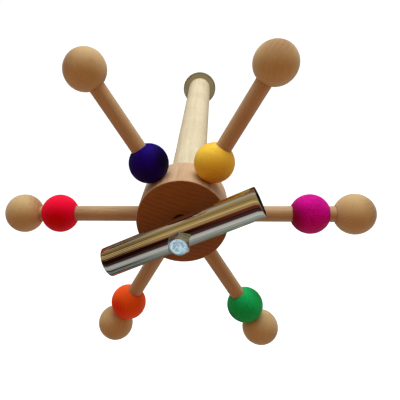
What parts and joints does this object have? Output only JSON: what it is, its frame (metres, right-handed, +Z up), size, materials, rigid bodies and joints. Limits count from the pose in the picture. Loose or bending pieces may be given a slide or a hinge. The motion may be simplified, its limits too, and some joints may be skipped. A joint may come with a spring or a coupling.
{
  "type": "bead wheel kaleidoscope",
  "caption": "Wooden wheel on a horizontal pole: dowel spokes with end balls and sliding stained beads, and a mirror-bright tube that pivots across the hub on a hex-head bolt.",
  "frame": {"origin": "centre of the mounting plane, where the end flange's back face meets a wall, on the axis of the hanger stud", "axes": "+Z up, +Y along the stud into the wall, so the wheel faces -Y; +X to the right seen from the front"},
  "size_m": [0.2814, 0.5569, 0.2478],
  "materials": {
    "beech_hub": "oiled beech, end grain edge and flat face",
    "dowel_wood": "oiled beech dowel",
    "ball_wood": "plain turned beech, satin",
    "pole_wood": "pale unfinished ash or pine",
    "stain_magenta": "magenta stain, satin",
    "stain_yellow": "yellow-orange stain, satin",
    "stain_blue": "dark blue-violet stain, satin",
    "stain_red": "crimson stain, satin",
    "stain_orange": "orange stain, satin",
    "stain_green": "green stain, satin",
    "mirror_chrome": "mirror polished plating",
    "zinc_steel": "bright zinc plate",
    "plain_steel": "turned",
    "insert_brass": "turned",
    "bush_nylon": "natural",
    "spacer_nylon": "black",
    "flange_paint": "olive grey"
  },
  "bodies": {
    "stand": {"pole": "pole_wood", "threaded_insert": "insert_brass", "back_washer": "zinc_steel", "axle_sleeve": "plain_steel", "spacer_ring": "spacer_nylon", "axle_bolt": "zinc_steel", "end_flange": "flange_paint", "hanger_stud": "zinc_steel", "flange_screws": "zinc_steel"},
    "wheel": {"hub": "beech_hub", "front_bush": "bush_nylon", "back_bush": "bush_nylon", "spoke_right": "dowel_wood", "spoke_upper_right": "dowel_wood", "spoke_upper_left": "dowel_wood", "spoke_left": "dowel_wood", "spoke_lower_left": "dowel_wood", "spoke_lower_right": "dowel_wood", "ball_right": "ball_wood", "ball_upper_right": "ball_wood", "ball_upper_left": "ball_wood", "ball_left": "ball_wood", "ball_lower_left": "ball_wood", "ball_lower_right": "ball_wood"},
    "magenta_bead": {"bead_magenta": "stain_magenta"},
    "yellow_bead": {"bead_yellow": "stain_yellow"},
    "blue_bead": {"bead_blue": "stain_blue"},
    "red_bead": {"bead_red": "stain_red"},
    "orange_bead": {"bead_orange": "stain_orange"},
    "green_bead": {"bead_green": "stain_green"},
    "tube": {"mirror_tube": "mirror_chrome"}
  },
  "joints": [
    {"name": "wheel_spin", "type": "hinge", "parent": "stand", "child": "wheel", "pos_m": [0, -0.4738, 0], "axis": [0, 1, 0], "continuous": true},
    {"name": "tube_spin", "type": "hinge", "parent": "stand", "child": "tube", "pos_m": [0, -0.5042, 0], "axis": [0, 1, 0], "continuous": true},
    {"name": "magenta_slide", "type": "slide", "parent": "wheel", "child": "magenta_bead", "axis": [1, 0, 0], "range_m": [-0.04647, 0.0046]},
    {"name": "yellow_slide", "type": "slide", "parent": "wheel", "child": "yellow_bead", "axis": [0.5, 0, 0.866], "range_m": [0, 0.05107]},
    {"name": "blue_slide", "type": "slide", "parent": "wheel", "child": "blue_bead", "axis": [-0.5, 0, 0.866], "range_m": [0, 0.05107]},
    {"name": "red_slide", "type": "slide", "parent": "wheel", "child": "red_bead", "axis": [-1, 0, 0], "range_m": [-0.04907, 0.002]},
    {"name": "orange_slide", "type": "slide", "parent": "wheel", "child": "orange_bead", "axis": [-0.5, 0, -0.866], "range_m": [-0.05107, 0]},
    {"name": "green_slide", "type": "slide", "parent": "wheel", "child": "green_bead", "axis": [0.5, 0, -0.866], "range_m": [-0.05107, 0]}
  ]
}
